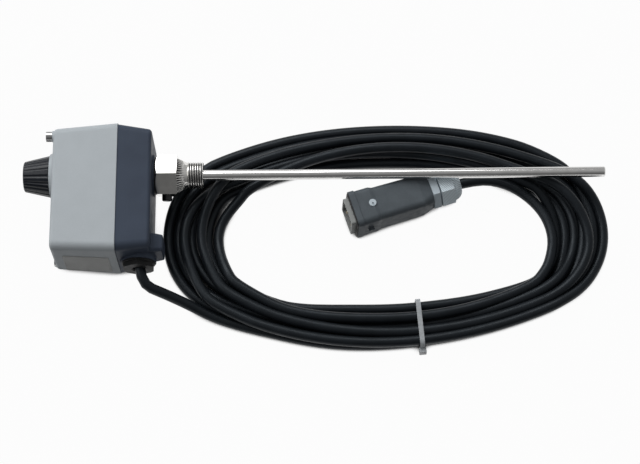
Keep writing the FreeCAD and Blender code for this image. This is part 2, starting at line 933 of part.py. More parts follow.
def make_cable_cores():
    """The cable's cores from the end of its sheath to the switch and the earth screw."""
    start_y = lead_route[0].y + loose_gap
    end_y = switch_bottom_y - loose_gap
    spread = 0.45 * cable_radius
    cores = []
    for k, (_, z) in zip((-1, 0, 1), terminal_places()):
        start = vector(gland_x - spread * (1 - abs(k)) + spread * 0.6, start_y, k * spread)
        cores.append(bar(start, vector(gland_x - spread * 0.4, end_y, 0.7 * z), core_radius))
    return Part.makeCompound(cores)


# Sensing system


def make_diaphragm_capsule():
    waist = capsule_radius * 0.72
    step = capsule_height * 0.3
    profile = [
        (stub_end_x, 0),
        (stub_end_x, capsule_hub_radius),
        (capsule_back_x, capsule_hub_radius),
        (capsule_back_x, waist),
        (capsule_back_x - step, capsule_radius),
        (capsule_front_x + step, capsule_radius),
        (capsule_front_x, waist),
        (capsule_front_x, 2 * capsule_pin_radius),
        (capsule_boss_x, 2 * capsule_pin_radius),
        (capsule_boss_x, 0),
    ]
    guide_end = capsule_boss_x + capsule_pin_depth + 0.5
    capsule = turned(profile).cut(bar_x(capsule_boss_x, guide_end, capsule_pin_radius + fit_gap))
    return capsule.cut(bar_x(stub_end_x - capsule_hub_length, stub_end_x, capillary_radius + seat_gap))


def bulb_start_x():
    return rod_end_x - bulb_tip_gap - bulb_length


def make_capillary_tube():
    return bar_x(stub_end_x - capsule_hub_length, bulb_start_x(), capillary_radius)


def make_sensing_bulb():
    start_x = bulb_start_x()
    shoulder = 1.5
    return turned(
        [
            (start_x, 0),
            (start_x, bulb_radius - shoulder),
            (start_x + shoulder, bulb_radius),
            (start_x + bulb_length - shoulder, bulb_radius),
            (start_x + bulb_length, bulb_radius - shoulder),
            (start_x + bulb_length, 0),
        ]
    )


def make_probe_tube():
    bore = rod_radius - rod_wall
    tip_wall = 2.0
    return turned(
        [
            (rod_start_x, bore),
            (rod_start_x, rod_radius),
            (rod_end_x - rod_tip_chamfer, rod_radius),
            (rod_end_x, rod_radius - rod_tip_chamfer),
            (rod_end_x, 0),
            (rod_end_x - tip_wall, 0),
            (rod_end_x - tip_wall, bore),
        ]
    )


# Nipple


def make_nipple():
    body = hexagon(hex_start_x, hex_end_x, hex_across_flats, hex_turn)
    body = chamfered_ends(body, hex_start_x, hex_end_x, hex_across_flats, hex_chamfer, hex_chamfer / 3)
    thread_chamfer = 0.8
    groove = 0.45
    bead = collar_length / 5
    front = turned(
        [
            (hex_end_x, 0),
            (hex_end_x, collar_radius - groove),
            (hex_end_x + bead, collar_radius),
            (hex_end_x + 2 * bead, collar_radius),
            (hex_end_x + 2.5 * bead, collar_radius - groove),
            (hex_end_x + 3 * bead, collar_radius),
            (hex_end_x + 4 * bead, collar_radius),
            (collar_x, collar_radius - groove),
            (collar_x, cone_radius_rear),
            (0, cone_radius_front),
            (0, thread_radius),
            (thread_length - thread_chamfer, thread_radius),
            (thread_length, thread_radius - thread_chamfer),
            (thread_length, 0),
        ]
    )
    body = body.fuse([front, bar_x(stub_end_x, hex_start_x, nipple_stub_radius)])
    body = body.cut(bar_x(rod_start_x, thread_length, rod_radius + seat_gap))
    body = body.cut(bar_x(stub_end_x, rod_start_x, capillary_radius + hole_gap))
    body = body.cut(clamp_direction(bar_y(-hex_across_flats / 2, 0, clamp_screw_diameter / 2 + seat_gap, clamp_x())))
    return body.removeSplitter()


def clamp_x():
    return (hex_start_x + hex_end_x) / 2


def clamp_direction(shape):
    """Turns a piece that points along -Y to the hexagon's front flat."""
    return swung(shape, hex_turn, AXIS_X)


def make_clamp_screw():
    seat_y = -hex_across_flats / 2
    round_radius = 1.2
    head = bar_y(seat_y - clamp_head_height, seat_y, clamp_head_radius, clamp_x())
    outer_face = [f for f in head.Faces if abs(f.CenterOfMass.y - seat_y + clamp_head_height) < 1e-6]
    head = head.makeFillet(round_radius, outer_face[0].Edges)
    slot_half = screw_slot_width / 2
    slot = block(
        clamp_x() - clamp_head_radius,
        clamp_x() + clamp_head_radius,
        seat_y - clamp_head_height,
        seat_y - clamp_head_height + screw_slot_depth,
        -slot_half,
        slot_half,
    )
    shank = bar_y(seat_y, -rod_radius - fit_gap, clamp_screw_diameter / 2, clamp_x())
    return clamp_direction(head.cut(slot).fuse(shank).removeSplitter())


def make_nipple_seal():
    return ring_x(neck_x, hex_start_x, hex_across_flats / 2 - hex_chamfer, nipple_stub_radius + fit_gap)


def make_nipple_locknut():
    nut = hexagon(stub_end_x, plate_x, locknut_across_flats)
    nut = chamfered_ends(nut, stub_end_x, plate_x, locknut_across_flats, 0.7, 0.2)
    return nut.cut(bar_x(stub_end_x, plate_x, nipple_stub_radius + seat_gap))


# Cable gland of the housing


def gland_turned(profile):
    """A body turned about the gland's axis from (y, radius) points."""
    points = [vector(gland_x + r, y, 0) for y, r in profile]
    outline = Part.makePolygon(points + points[:1])
    return Part.Face(outline).revolve(vector(gland_x, 0, 0), AXIS_Y, 360)


def gland_hexagon():
    """The hexagon of the gland's screw, along -Y, with its outer corners broken."""
    hexagon_bar = hexagon(0, gland_hex_height, gland_across_flats)
    hexagon_bar = chamfered_ends(hexagon_bar, 0, gland_hex_height, gland_across_flats, 0.01, 0.6)
    hexagon_bar.rotate(vector(0, 0, 0), AXIS_Z, -90)
    hexagon_bar.translate(vector(gland_x, gland_flange_y, 0))
    return hexagon_bar


def make_gland_screw():
    bore = cable_radius + hole_gap
    mouth = 1.0
    round_part = gland_turned(
        [
            (gland_thread_y, bore),
            (gland_thread_y, gland_thread_radius),
            (gland_face_y, gland_thread_radius),
            (gland_face_y, gland_flange_radius),
            (gland_flange_y + 0.4, gland_flange_radius),
            (gland_flange_y, gland_flange_radius - 0.4),
            (gland_flange_y, bore),
        ]
    )
    hole = gland_turned(
        [
            (gland_flange_y, 0),
            (gland_flange_y, bore),
            (gland_mouth_y + mouth, bore),
            (gland_mouth_y, bore + mouth),
            (gland_mouth_y, 0),
        ]
    )
    return round_part.fuse(gland_hexagon().cut(hole)).removeSplitter()


def make_gland_washer():
    return gland_turned(
        [
            (gland_thread_y, cable_radius + hole_gap),
            (gland_thread_y, gland_thread_radius - loose_gap),
            (washer_y, gland_thread_radius - loose_gap),
            (washer_y, cable_radius + hole_gap),
        ]
    )


def make_gland_seal():
    return gland_turned(
        [
            (washer_y, cable_radius - seal_squeeze),
            (washer_y, gland_thread_radius),
            (seal_y, gland_thread_radius),
            (seal_y, cable_radius - seal_squeeze),
        ]
    )


# Cable coil and tie


def make_cable_coil():
    outer = oval(
        coil_outer_center_y, coil_outer_half_length, coil_outer_half_width, coil_outer_end_radius, coil_height
    )
    inner = oval(
        coil_inner_center_y, coil_inner_half_length, coil_inner_half_width, coil_inner_end_radius, coil_height
    )
    ring = outer.cut(inner)
    level = [e for e in ring.Edges if abs(e.tangentAt(e.FirstParameter).z) < 0.1]
    ring = ring.makeFillet(coil_edge_radius, level)
    return ring.cut(at_tie(tie_loop(tie_width + 2 * loose_gap, seat_gap)))


def coil_side(center_y, half_length, half_width, end_radius):
    """The centre and radius of the arc along the coil's near side."""
    radius = (half_length**2 - 2 * half_length * end_radius + half_width**2) / (2 * (half_width - end_radius))
    return center_y + radius - half_width, radius


def tie_turn():
    """How far the bundle leans away from X where the tie holds it, in degrees."""
    _, radius = coil_side(
        coil_outer_center_y, coil_outer_half_length, coil_outer_half_width, coil_outer_end_radius
    )
    return math.degrees(math.asin((tie_x - coil_center_x) / radius))


def tie_edges():
    """The near and far sides of the bundle at the tie, along Y."""
    near_center, near_radius = coil_side(
        coil_outer_center_y, coil_outer_half_length, coil_outer_half_width, coil_outer_end_radius
    )
    far_center, far_radius = coil_side(
        coil_inner_center_y, coil_inner_half_length, coil_inner_half_width, coil_inner_end_radius
    )
    aside = tie_x - coil_center_x
    return (
        near_center - math.sqrt(near_radius**2 - aside**2),
        far_center - math.sqrt(far_radius**2 - aside**2),
    )


def at_tie(shape):
    near, _ = tie_edges()
    return swung(shape, tie_turn(), AXIS_Z, tie_x, near)


def tie_loop(width, gap):
    """The strap's closed loop round the bundle, with its inside smaller by gap."""
    near, far = tie_edges()
    x1 = tie_x - width / 2
    x2 = tie_x + width / 2
    top = floor_z + coil_height + seat_gap
    bottom = floor_z + tie_thickness
    inner_round = coil_edge_radius - 0.2
    outer_round = inner_round + tie_thickness
    low_y = near - loose_gap
    high_y = far + loose_gap

    def outer_outline(x):
        return rounded_outline(
            x, low_y - tie_thickness, high_y + tie_thickness, floor_z, top + tie_thickness, outer_round
        )

    def inner_outline(x):
        return rounded_outline(x, low_y + gap, high_y - gap, bottom + gap, top - gap, inner_round)

    return tapered(outer_outline(x1), outer_outline(x2)).cut(tapered(inner_outline(x1), inner_outline(x2)))


def make_cable_tie():
    near = tie_edges()[0] - loose_gap
    head_x = tie_x - tie_head_width / 2
    head_z = floor_z + coil_height / 2 - tie_head_length / 2
    head = block(
        head_x,
        head_x + tie_head_width,
        near - tie_head_height,
        near - tie_thickness / 2,
        head_z,
        head_z + tie_head_length,
    )
    head = head.makeFillet(0.9, [e for e in head.Edges if abs(e.tangentAt(0).y) > 0.9])
    return at_tie(tie_loop(tie_width, 0).fuse(head).removeSplitter())


# Cable connector


def hood_stations():
    """Places along the connector where its outline changes, from its mouth."""
    collar_end = hood_flange_length + hood_collar_length
    body_end = collar_end + hood_body_length
    return collar_end, body_end, body_end + hood_neck_length


def make_hood():
    collar_end, body_end, neck_end = hood_stations()
    step = 3.0
    flange = square_bar(0, hood_flange_length, hood_flange_side, hood_corner_radius)
    collar = square_bar(hood_flange_length, collar_end - step, hood_collar_side, hood_corner_radius)
    shoulder = tapered(
        square_outline(collar_end - step, hood_collar_side, hood_corner_radius),
        square_outline(collar_end, hood_body_side, hood_corner_radius),
    )
    body = tapered(
        square_outline(collar_end, hood_body_side, hood_corner_radius),
        square_outline(body_end, hood_rear_side, hood_corner_radius),
    )
    neck = tapered(
        square_outline(body_end, hood_rear_side, hood_corner_radius),
        square_outline(neck_end, hood_neck_side, 1.6 * hood_corner_radius),
    )
    hood = flange.fuse([collar, shoulder, body, neck])
    for side in (-1, 1):
        foot = side * (hood_collar_side / 2 - 1)
        end = side * (hood_collar_side / 2 + peg_height)
        hood = hood.fuse(bar_y(foot, end, peg_radius, peg_from_mouth))
    pocket = square_bar(0, hood_pocket_depth, insert_side + 2 * seat_gap, 1.5)
    throat = bar_x(hood_pocket_depth, neck_end, hood_gland_thread_radius + fit_gap)
    screw_hole = bar(
        vector(hood_screw_from_mouth, 0, hood_collar_side / 2 - hood_screw_length),
        vector(hood_screw_from_mouth, 0, hood_collar_side / 2 + 1),
        hood_screw_radius + seat_gap,
    )
    return placed_hood(hood.cut(pocket).cut(throat).cut(screw_hole).removeSplitter())


def make_hood_insert():
    block_back = insert_seat_depth
    body = square_bar(-insert_reach, block_back, insert_side, 1.5)
    recess = square_bar(-insert_reach, insert_recess_depth - insert_reach, insert_side - 2 * insert_rim, 1.0)
    body = body.cut(recess)
    for v, w in contact_places():
        body = body.cut(bar_x(-insert_reach, block_back, contact_radius + seat_gap, v, w))
    return placed_hood(body)


def contact_places():
    half = contact_pitch / 2
    return [(-half, -half), (-half, half), (half, -half), (half, half)]


def make_contacts():
    back = insert_seat_depth
    pins = []
    for v, w in contact_places():
        pin = bar_x(back - contact_length + contact_radius, back, contact_radius, v, w)
        tip = Part.makeSphere(contact_radius, vector(back - contact_length + contact_radius, v, w))
        pins.append(pin.fuse(tip).removeSplitter())
    return placed_hood(Part.makeCompound(pins))


def make_hood_seal():
    outer = square_bar(-hood_seal_thickness, 0, hood_flange_side - 2 * 1.3, 3.0)
    inner = square_bar(-hood_seal_thickness, 0, insert_side + 2 * seat_gap, 1.5)
    return placed_hood(outer.cut(inner))


def make_hood_screw():
    low = hood_collar_side / 2 - hood_screw_length
    high = hood_collar_side / 2 + hood_screw_proud
    head = bar(
        vector(hood_screw_from_mouth, 0, low), vector(hood_screw_from_mouth, 0, high), hood_screw_radius
    )
    slot_half = screw_slot_width / 2
    slot = block(
        hood_screw_from_mouth - slot_half,
        hood_screw_from_mouth + slot_half,
        -hood_screw_radius,
        0,
        high - 0.8,
        high,
    )
    return placed_hood(head.cut(slot))


def hood_gland_stations():
    _, _, start = hood_stations()
    hex_end = start + hood_gland_hex_length
    cap_start = hex_end + hood_gland_gap
    cap_end = cap_start + hood_gland_cap_length
    return start, hex_end, cap_start, cap_end, cap_end + hood_gland_dome_length


def make_hood_gland_body():
    start, hex_end, _, _, _ = hood_gland_stations()
    body = hexagon(start, hex_end, hood_gland_across_flats, 30)
    body = chamfered_ends(body, start, hex_end, hood_gland_across_flats, 0.5, 0.5)
    stub = bar_x(start - 8, start, hood_gland_thread_radius)
    nose = bar_x(hex_end, hex_end + hood_gland_nose_length, hood_gland_thread_radius)
    bore = bar_x(start - 8, hex_end + hood_gland_nose_length, hood_gland_bore_radius)
    return placed_hood(body.fuse([stub, nose]).cut(bore).removeSplitter())


def make_hood_gland_cap():
    _, hex_end, cap_start, cap_end, dome_end = hood_gland_stations()
    cap = hexagon(cap_start, cap_end, hood_gland_across_flats, 30)
    cap = chamfered_ends(cap, cap_start, cap_end, hood_gland_across_flats, 0.4, 1.3)
    foot = hood_gland_across_flats / 2 - 0.8
    top = hood_gland_dome_radius
    bulge = vector(cap_end + 0.62 * hood_gland_dome_length, foot - 0.3 * (foot - top), 0)
    corners = [vector(cap_end, 0, 0), vector(cap_end, foot, 0), vector(dome_end, top, 0), vector(dome_end, 0, 0)]
    profile = [
        Part.LineSegment(corners[0], corners[1]).toShape(),
        Part.Arc(corners[1], bulge, corners[2]).toShape(),
        Part.LineSegment(corners[2], corners[3]).toShape(),
        Part.LineSegment(corners[3], corners[0]).toShape(),
    ]
    dome = Part.Face(Part.Wire(profile)).revolve(vector(0, 0, 0), AXIS_X, 360)
    nose_end = hex_end + hood_gland_nose_length
    cap = cap.fuse(dome)
    cap = cap.cut(bar_x(cap_start, hood_seal_end_u(), hood_gland_thread_radius + fit_gap))
    cap = cap.cut(bar_x(nose_end, dome_end, cable_radius + hole_gap))
    return placed_hood(cap.removeSplitter())


def hood_seal_end_u():
    _, hex_end, _, _, _ = hood_gland_stations()
    return hex_end + hood_gland_nose_length + 3.0


def make_hood_gland_seal():
    _, hex_end, _, _, _ = hood_gland_stations()
    start = hex_end + hood_gland_nose_length
    return placed_hood(ring_x(start, hood_seal_end_u(), hood_gland_thread_radius, cable_radius - seal_squeeze))


NODES = {
    "base_shell": make_base_shell,
    "cover_shell": make_cover_shell,
    "cover_gasket": make_cover_gasket,
    "cover_screws": make_cover_screws,
    "knob": make_knob,
    "spindle": make_spindle,
    "spindle_bush": make_spindle_bush,
    "spring_carriage": make_spring_carriage,
    "range_spring": make_range_spring,
    "mounting_frame": make_mounting_frame,
    "frame_screws": make_frame_screws,
    "earth_screw": make_earth_screw,
    "lever_pivot_pin": make_lever_pivot_pin,
    "switch_lever": make_switch_lever,
    "calibration_screw": make_calibration_screw,
    "snap_switch": make_snap_switch,
    "switch_plunger": make_switch_plunger,
    "switch_screws": make_switch_screws,
    "terminal_screws": make_terminal_screws,
    "cable_cores": make_cable_cores,
    "diaphragm_capsule": make_diaphragm_capsule,
    "capsule_pin": make_capsule_pin,
    "capillary_tube": make_capillary_tube,
    "sensing_bulb": make_sensing_bulb,
    "probe_tube": make_probe_tube,
    "nipple": make_nipple,
    "nipple_seal": make_nipple_seal,
    "nipple_locknut": make_nipple_locknut,
    "clamp_screw": make_clamp_screw,
    "gland_screw": make_gland_screw,
    "gland_washer": make_gland_washer,
    "gland_seal": make_gland_seal,
    "cable_lead": lambda: cable_tube("cable_lead", lead_route),
    "cable_coil": make_cable_coil,
    "cable_tail": lambda: cable_tube("cable_tail", tail_route),
    "cable_tie": make_cable_tie,
    "hood": make_hood,
    "hood_insert": make_hood_insert,
    "contacts": make_contacts,
    "hood_seal": make_hood_seal,
    "hood_screw": make_hood_screw,
    "hood_gland_body": make_hood_gland_body,
    "hood_gland_cap": make_hood_gland_cap,
    "hood_gland_seal": make_hood_gland_seal,
}


os.makedirs("parts", exist_ok=True)
for node, make in NODES.items():
    make().exportStep(f"parts/{node}.step")
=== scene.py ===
"""Looks of a rod thermostat that lies on its side beside its coiled, tied cable."""

import json
import math

import bmesh
import bpy
from mathutils import Matrix, Vector


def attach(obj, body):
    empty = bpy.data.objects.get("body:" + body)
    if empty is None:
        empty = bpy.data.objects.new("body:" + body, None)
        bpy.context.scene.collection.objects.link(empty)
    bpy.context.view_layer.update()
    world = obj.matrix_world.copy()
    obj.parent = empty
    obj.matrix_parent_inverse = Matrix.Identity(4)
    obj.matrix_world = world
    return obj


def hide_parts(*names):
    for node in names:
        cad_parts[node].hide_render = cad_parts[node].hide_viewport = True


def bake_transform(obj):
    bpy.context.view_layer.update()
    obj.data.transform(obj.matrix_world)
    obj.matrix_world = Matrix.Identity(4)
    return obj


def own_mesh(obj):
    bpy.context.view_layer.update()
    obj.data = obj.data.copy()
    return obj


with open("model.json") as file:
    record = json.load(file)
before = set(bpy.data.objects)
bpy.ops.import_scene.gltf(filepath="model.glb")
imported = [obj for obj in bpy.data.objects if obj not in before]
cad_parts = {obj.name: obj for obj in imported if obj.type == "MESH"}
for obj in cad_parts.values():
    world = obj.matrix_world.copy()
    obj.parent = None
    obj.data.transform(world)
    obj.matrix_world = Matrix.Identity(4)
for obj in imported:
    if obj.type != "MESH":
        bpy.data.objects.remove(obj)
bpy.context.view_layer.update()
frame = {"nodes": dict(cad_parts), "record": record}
nodes = frame["nodes"]

MM = 0.001
FLOOR_Z = -30.0
CABLE_DIAMETER = 8.0


# Camera

IMAGE_WIDTH = 640
FOCAL_PIXELS = 1986.6
CAMERA_TARGET = Vector((0.100, -0.047, 0.0))
CAMERA_DISTANCE = 1.5
CAMERA_ELEVATION = math.radians(69.5)
CAMERA_ROLL = math.radians(-0.55)
SENSOR_WIDTH = 36.0


def make_camera():
    camera = bpy.data.cameras.new("camera")
    camera.sensor_width = SENSOR_WIDTH
    camera.lens = SENSOR_WIDTH * FOCAL_PIXELS / IMAGE_WIDTH
    camera.dof.use_dof = False
    camera.clip_start = 0.05
    camera.clip_end = 20.0
    obj = bpy.data.objects.new("camera", camera)
    away = Vector((0, -math.cos(CAMERA_ELEVATION), math.sin(CAMERA_ELEVATION)))
    obj.location = CAMERA_TARGET + CAMERA_DISTANCE * away
    tilt = Matrix.Rotation(math.pi / 2 - CAMERA_ELEVATION, 4, "X")
    roll = Matrix.Rotation(CAMERA_ROLL, 4, "Z")
    obj.rotation_euler = (tilt @ roll).to_euler()
    bpy.context.scene.collection.objects.link(obj)
    bpy.context.scene.camera = obj


make_camera()


# Cable: the route of the lead and the tail, and the lanes of the turns between them

HOOD_MOUTH = Vector((125.0, -28.0, -14.842))
HOOD_TURN = math.radians(17.6)
HOOD_TILT = math.atan(1.8 / 49.4)
GLAND_X = -36.5
LOW_Z = FLOOR_Z + CABLE_DIAMETER / 2
LAYER_RISE = 7.8
TOP_LAYER = 2.0


def hood_axis(u):
    """The point of the connector's axis that is u behind its mouth."""
    level = math.cos(HOOD_TILT)
    along = Vector((level * math.cos(HOOD_TURN), level * math.sin(HOOD_TURN), -math.sin(HOOD_TILT)))
    return HOOD_MOUTH + u * along


LEAD_ROUTE = [
    (GLAND_X, -61.5, 0),
    (GLAND_X, -86.2, 0),
    (-16.5, -92, -10),
    (1, -97, -22),
    (18, -105.3, LOW_Z),
    (40, -112.8, LOW_Z),
]
TAIL_ROUTE = [
    (278.5, -48, -18.4),
    (274, -29, -18.9),
    (262, -13, -19.8),
    (244, -0.5, -20.2),
    hood_axis(101),
    hood_axis(75.2),
]

# Each oval is four tangent arcs: centre, half length, half width and end radius
OUTER_OVAL = (150.0, -42.5, 166.0, 86.5, 66.0)
INNER_OVAL = (150.0, -40.0, 127.5, 62.0, 39.0)

# Along the turns, in degrees about the coil: lane from 0 outside to 1 inside, and layer
# from 0 on the floor to 2 on top of two turns
TURN_LANES = [
    (255, -0.05, 0), (262, -0.05, 0), (268, 0.00, 0), (274, 0.07, 0), (283, 0.12, 0),
    (300, 0.13, 0), (326, 0.16, 0), (345, 0.16, 0), (365, 0.15, 0), (384, 0.11, 0), (400, 0.01, 0),
    (415, -0.10, 0), (425, -0.19, 0), (432, -0.26, 0), (438, -0.25, 0), (445, -0.17, 0),
    (452, -0.13, 0), (465, -0.14, 0), (478, -0.11, 0), (492, -0.11, 0), (505, -0.10, 0),
    (517, -0.06, 0), (530, -0.03, 0), (545, -0.02, 0), (565, -0.02, 0), (585, 0.01, 0),
    (601, 0.06, 0), (610, 0.12, 0), (616, 0.16, 0), (622, 0.21, 0), (630, 0.27, 0), (640, 0.31, 0),
    (650, 0.34, 0), (672, 0.34, 0), (690, 0.35, 0), (720, 0.36, 0), (740, 0.31, 0), (755, 0.26, 0),
    (770, 0.22, 0), (785, 0.18, 0), (800, 0.15, 0), (815, 0.14, 0), (830, 0.14, 0), (845, 0.14, 0),
    (860, 0.15, 0), (885, 0.17, 0), (900, 0.18, 0), (925, 0.19, 0), (945, 0.23, 0), (961, 0.28, 0),
    (970, 0.31, 0), (976, 0.35, 0), (982, 0.44, 0), (990, 0.53, 0), (1000, 0.54, 0.25),
    (1008, 0.52, 0.65), (1017, 0.50, 0.95), (1025, 0.50, 1), (1034, 0.51, 0.9), (1045, 0.53, 0.5),
    (1056, 0.54, 0.15), (1068, 0.54, 0), (1080, 0.53, 0), (1095, 0.52, 0), (1110, 0.51, 0),
    (1125, 0.54, 0), (1140, 0.60, 0), (1150, 0.62, 0), (1170, 0.62, 0), (1185, 0.55, 0),
    (1200, 0.46, 0), (1215, 0.46, 0), (1235, 0.45, 0), (1260, 0.44, 0), (1285, 0.46, 0),
    (1305, 0.48, 0), (1321, 0.49, 0), (1330, 0.50, 0), (1335, 0.55, 0), (1341, 0.68, 0),
    (1347, 0.77, 0), (1353, 0.80, 0), (1360, 0.77, 0), (1366, 0.70, 0), (1372, 0.64, 0),
    (1379, 0.57, 0), (1390, 0.56, 0), (1402, 0.62, 0), (1415, 0.69, 0), (1430, 0.72, 0),
    (1445, 0.72, 0), (1465, 0.72, 0), (1475, 0.73, 0), (1485, 0.77, 0), (1507, 0.88, 0),
    (1518, 1.00, 0), (1530, 1.12, 0), (1548, 0.96, 0), (1562, 0.82, 0), (1580, 0.76, 0),
    (1600, 0.77, 0), (1620, 0.76, 0), (1645, 0.74, 0), (1665, 0.71, 0), (1681, 0.69, 0),
    (1690, 0.68, 0), (1695, 0.78, 0), (1701, 0.96, 0), (1707, 1.04, 0), (1714, 1.06, 0),
    (1720, 1.04, 0), (1726, 0.96, 0), (1732, 0.87, 0), (1739, 0.77, 0), (1752, 0.79, 0),
    (1766, 0.83, 0), (1780, 0.87, 0), (1800, 0.90, 0), (1815, 0.91, 0.1), (1828, 0.90, 0.4),
    (1842, 0.85, 0.8), (1856, 0.81, 1), (1872, 0.82, 1), (1888, 0.87, 1), (1900, 0.81, 1),
    (1912, 0.72, 1), (1925, 0.62, 1), (1940, 0.49, 1), (1960, 0.36, 1), (1980, 0.31, 1),
    (2000, 0.30, 1), (2011, 0.27, 1), (2025, 0.18, 1), (2040, 0.08, 1), (2050, 0.02, 1),
    (2060, -0.02, 1), (2070, 0.00, 1), (2080, 0.04, 1), (2090, 0.06, 1), (2100, 0.07, 0.95),
    (2112, 0.05, 0.7), (2126, 0.02, 0.35), (2140, 0.00, 0.1), (2150, -0.03, 0), (2164, -0.05, 0),
    (2175, -0.06, 0.05), (2184, -0.06, 0.3), (2195, -0.03, 0.8), (2205, 0.03, 1), (2220, 0.10, 1),
    (2240, 0.22, 1), (2250, 0.30, 1), (2260, 0.38, 1.2), (2270, 0.43, 1.6), (2282, 0.52, 2),
    (2296, 0.60, 2), (2310, 0.65, 1.7), (2322, 0.66, 1.3), (2335, 0.66, 1.05), (2350, 0.65, 1),
    (2362, 0.65, 1), (2374, 0.62, 1), (2387, 0.55, 1), (2400, 0.45, 1), (2412, 0.35, 1),
    (2422, 0.31, 1), (2432, 0.29, 1), (2445, 0.28, 1), (2490, 0.25, 1), (2510, 0.25, 1.1),
    (2530, 0.35, 1.5), (2550, 0.46, 1.95), (2565, 0.55, 2), (2585, 0.68, 2), (2600, 0.74, 2),
    (2612, 0.82, 2), (2622, 0.90, 1.85), (2632, 0.98, 1.5), (2642, 1.06, 1.15), (2652, 1.10, 0.85),
    (2662, 1.09, 0.5), (2672, 1.06, 0.25), (2684, 1.02, 0.05), (2695, 0.99, 0), (2705, 0.98, 0),
    (2718, 0.96, 0.15), (2731, 0.92, 0.55), (2740, 0.87, 0.85), (2750, 0.80, 1), (2758, 0.73, 1),
    (2764, 0.66, 1), (2769, 0.60, 1), (2774, 0.57, 1), (2780, 0.62, 1), (2786, 0.69, 1),
    (2795, 0.71, 1), (2805, 0.70, 1), (2818, 0.71, 1), (2828, 0.78, 1), (2842, 0.85, 1),
    (2854, 0.91, 1),
]
SIDE_STEP = 4.0
END_STEP = 12.0
SIDE_SINE = 0.9


def oval_point(oval, degrees):
    """The point of an oval where its outward direction has this angle."""
    center_x, center_y, half_length, half_width, end_radius = oval
    side_radius = half_length**2 - 2 * half_length * end_radius + half_width**2
    side_radius /= 2 * (half_width - end_radius)
    end_offset = half_length - end_radius
    side_offset = side_radius - half_width
    angle = math.radians(degrees)
    out = Vector((math.cos(angle), math.sin(angle)))
    if abs(out.y) * end_offset > abs(out.x) * side_offset:
        center = Vector((0, -math.copysign(side_offset, out.y)))
        radius = side_radius
    else:
        center = Vector((math.copysign(end_offset, out.x), 0))
        radius = end_radius
    return Vector((center_x, center_y)) + center + radius * out


def lane_at(degrees):
    """Lane and layer at this angle, on a smooth line through the rows of TURN_LANES."""
    rows = TURN_LANES
    k = max(1, next((i for i, row in enumerate(rows) if row[0] >= degrees), len(rows) - 1))
    before, start = rows[max(k - 2, 0)], rows[k - 1]
    end, after = rows[k], rows[min(k + 1, len(rows) - 1)]
    span = end[0] - start[0]
    t = (degrees - start[0]) / span
    values = []
    for column in (1, 2):
        slope_start = (end[column] - before[column]) / max(end[0] - before[0], 1) * span
        slope_end = (after[column] - start[column]) / max(after[0] - start[0], 1) * span
        values.append(
            (2 * t**3 - 3 * t**2 + 1) * start[column]
            + (t**3 - 2 * t**2 + t) * slope_start
            + (3 * t**2 - 2 * t**3) * end[column]
            + (t**3 - t**2) * slope_end
        )
    return values[0], min(max(values[1], 0.0), TOP_LAYER)


def turn_points():
    """The control points of the coil's turns, from the lead to the tail."""
    points = []
    degrees = TURN_LANES[0][0]
    while degrees <= TURN_LANES[-1][0]:
        lane, layer = lane_at(degrees)
        flat = oval_point(OUTER_OVAL, degrees).lerp(oval_point(INNER_OVAL, degrees), lane)
        points.append((flat.x, flat.y, LOW_Z + LAYER_RISE * layer))
        on_side = abs(math.sin(math.radians(degrees))) > SIDE_SINE
        degrees += SIDE_STEP if on_side else END_STEP
    return points


def make_cable():
    curve = bpy.data.curves.new("cable", "CURVE")
    curve.dimensions = "3D"
    curve.bevel_depth = 1.0
    curve.bevel_resolution = 6
    curve.resolution_u = 4
    curve.use_fill_caps = True
    route = LEAD_ROUTE + turn_points() + TAIL_ROUTE
    spline = curve.splines.new("NURBS")
    spline.points.add(len(route) - 1)
    for point, place in zip(spline.points, route):
        point.co = (*(c * MM for c in place), 1.0)
        point.radius = CABLE_DIAMETER / 2 * MM
    spline.order_u = 3
    spline.use_endpoint_u = True
    spline.use_smooth = True
    obj = bpy.data.objects.new("cable", curve)
    bpy.context.scene.collection.objects.link(obj)
    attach(obj, "housing")
    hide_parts("cable_lead", "cable_coil", "cable_tail")
    return obj


cable = make_cable()


# Materials

# Sockets of a Mix node that mixes colours
MIX_FACTOR = 0
MIX_FIRST = 6
MIX_SECOND = 7
MIX_COLOR = 2


def remap(tree, source, start, end, low, high):
    """Turns the range from start to end of a value into low to high."""
    node = tree.nodes.new("ShaderNodeMapRange")
    tree.links.new(source, node.inputs["Value"])
    node.inputs["From Min"].default_value = start
    node.inputs["From Max"].default_value = end
    node.inputs["To Min"].default_value = low
    node.inputs["To Max"].default_value = high
    return node.outputs["Result"]


